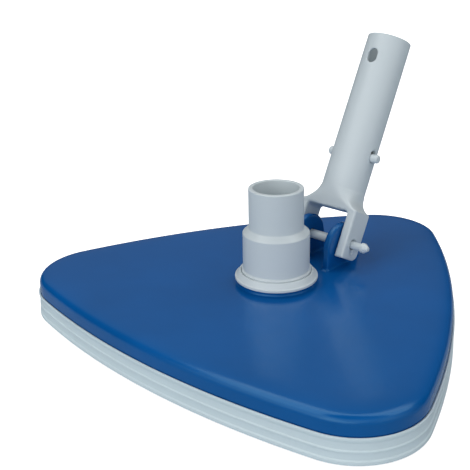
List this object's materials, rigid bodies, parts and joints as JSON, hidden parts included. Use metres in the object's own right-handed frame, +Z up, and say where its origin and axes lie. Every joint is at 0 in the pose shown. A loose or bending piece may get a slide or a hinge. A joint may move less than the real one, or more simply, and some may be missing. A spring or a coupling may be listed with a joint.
{
  "type": "triangular pool vacuum head",
  "caption": "Weighted triangular pool vacuum head: blue cover with skirt and brushes, swivelling stepped hose cuff and a tilting fork handle with a sprung pole clip.",
  "frame": {"origin": "on the pool floor, under the middle of the skirt's outline", "axes": "+Z up; +Y towards the corner that the handle leans to; +X along the pivot pin, towards its cone end"},
  "size_m": [0.26, 0.2458, 0.1544],
  "materials": {
    "blue_shell": "moulded blue plastic with a soft gloss",
    "plate_blue": "darker blue moulded plastic",
    "grey_plastic": "pale blue-grey moulded plastic, satin",
    "skirt_vinyl": "soft pale grey vinyl",
    "bristle_nylon": "white nylon filament",
    "seal_rubber": "black rubber",
    "ballast_iron": "coated casting",
    "stainless": "stainless steel"
  },
  "bodies": {
    "head": {"top_cover": "blue_shell", "bumper": "skirt_vinyl", "base_plate": "plate_blue", "swivel_collar": "grey_plastic", "swivel_seal": "seal_rubber", "ballast_weight_1": "ballast_iron", "ballast_weight_2": "ballast_iron", "ballast_weight_3": "ballast_iron", "ballast_screw_1": "stainless", "ballast_screw_2": "stainless", "ballast_screw_3": "stainless", "cover_screw_1": "stainless", "cover_screw_2": "stainless", "cover_screw_3": "stainless", "cover_screw_4": "stainless", "cover_screw_5": "stainless", "cover_screw_6": "stainless", "brush_back_1": "plate_blue", "brush_back_2": "plate_blue", "brush_back_3": "plate_blue", "bristle_row_1": "bristle_nylon", "bristle_row_2": "bristle_nylon", "bristle_row_3": "bristle_nylon", "pivot_pin": "grey_plastic"},
    "hose": {"hose_cuff": "grey_plastic"},
    "handle": {"handle_fork": "grey_plastic", "clip_bend": "stainless"},
    "clip_left": {"clip_arm_left": "stainless", "clip_button_left": "grey_plastic"},
    "clip_right": {"clip_arm_right": "stainless", "clip_button_right": "grey_plastic"}
  },
  "joints": [
    {"name": "handle_tilt", "type": "hinge", "parent": "head", "child": "handle", "pos_m": [0, 0.0259, 0.0379], "axis": [1, 0, 0], "range_deg": [-54, 50]},
    {"name": "hose_swivel", "type": "hinge", "parent": "head", "child": "hose", "pos_m": [0, -0.02, 0.03], "axis": [0, 0, 1], "continuous": true},
    {"name": "clip_left_press", "type": "hinge", "parent": "handle", "child": "clip_left", "pos_m": [-0.0042, 0.0436, 0.06478], "axis": [0, 0.8886, -0.4587], "range_deg": [0, 11], "stiffness_Nm_per_rad": 0.4, "springref_deg": -2.86},
    {"name": "clip_right_press", "type": "hinge", "parent": "handle", "child": "clip_right", "pos_m": [0.0042, 0.0436, 0.06478], "axis": [0, -0.8886, 0.4587], "range_deg": [0, 11], "stiffness_Nm_per_rad": 0.4, "springref_deg": -2.86}
  ]
}
